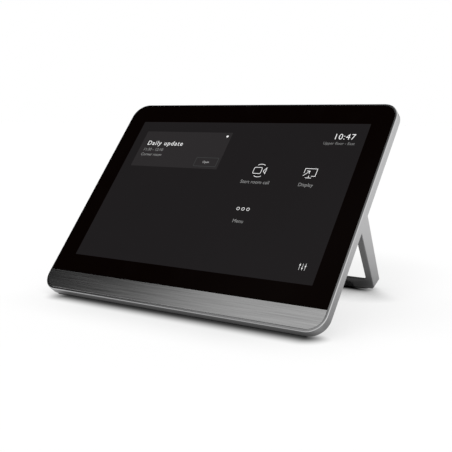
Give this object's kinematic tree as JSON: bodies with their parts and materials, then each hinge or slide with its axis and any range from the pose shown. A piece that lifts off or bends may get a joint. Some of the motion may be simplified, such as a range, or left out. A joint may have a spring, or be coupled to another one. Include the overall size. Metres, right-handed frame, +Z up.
{
  "type": "tabletop touch console",
  "caption": "Tabletop touch console for room calls: a rounded slab with a glass screen over a brushed metal chin, leaning back on a folding U-shaped metal stand.",
  "frame": {"origin": "middle of the resting face of the rubber strip under the slab's lower back edge", "axes": "+X to the right along the lower edge, +Y to the back, +Z up from the table"},
  "size_m": [0.2012, 0.1333, 0.1186],
  "materials": {
    "anodised": "satin anodised",
    "brushed": "brushed lengthwise",
    "screen": "gloss black border",
    "display": "gloss",
    "shell": "fine texture",
    "rubber": "matte",
    "tape": "matte",
    "board": "solder mask",
    "chip": "matte",
    "capacitor": "bare",
    "steel": "plain",
    "screws": "blackened",
    "jack": "matte",
    "contacts": "plated",
    "ribbon": "film",
    "grille": "satin black",
    "button": "matte"
  },
  "bodies": {
    "console": {"backlight": "display", "board_screws": "screws", "cable_connectors": "chip", "capacitors": "capacitor", "chassis_pillars": "steel", "chassis_plate": "steel", "chin_trim": "brushed", "cover_glass": "screen", "display_cable": "ribbon", "display_cushion": "rubber", "ethernet_jack": "jack", "front_foot": "rubber", "front_frame": "anodised", "glass_tape": "tape", "hinge_bracket_left": "steel", "hinge_bracket_right": "steel", "hinge_screws": "screws", "housing_screws": "screws", "jack_contacts": "contacts", "lcd_panel": "display", "lock_plate": "steel", "main_board": "board", "memory_chips": "chip", "network_transformer": "chip", "power_inductors": "chip", "processor": "chip", "rear_housing": "shell", "rear_panel": "shell", "reset_switch": "chip", "rest_pads": "rubber", "shield_can": "steel", "speaker": "chip", "speaker_gasket": "rubber", "speaker_grille": "grille", "thermal_pad": "rubber", "touch_cable": "ribbon", "touch_sensor": "display", "usb_jack": "steel"},
    "stand": {"stand_frame": "anodised", "stand_foot": "rubber", "stand_bumper": "rubber", "hinge_pin_left": "steel", "hinge_pin_right": "steel", "hinge_springs_left": "steel", "hinge_springs_right": "steel", "hinge_nut_left": "steel", "hinge_nut_right": "steel"},
    "reset": {"reset_button": "button"}
  },
  "joints": [
    {"name": "stand_hinge", "type": "hinge", "parent": "console", "child": "stand", "pos_m": [0, 0.08033, 0.0887], "axis": [-1, 0, 0], "range_deg": [0, 66]},
    {"name": "reset_press", "type": "slide", "parent": "console", "child": "reset", "axis": [0, 0.6361, 0.7716], "range_m": [0, 0.0006], "stiffness_N_per_m": 800}
  ]
}
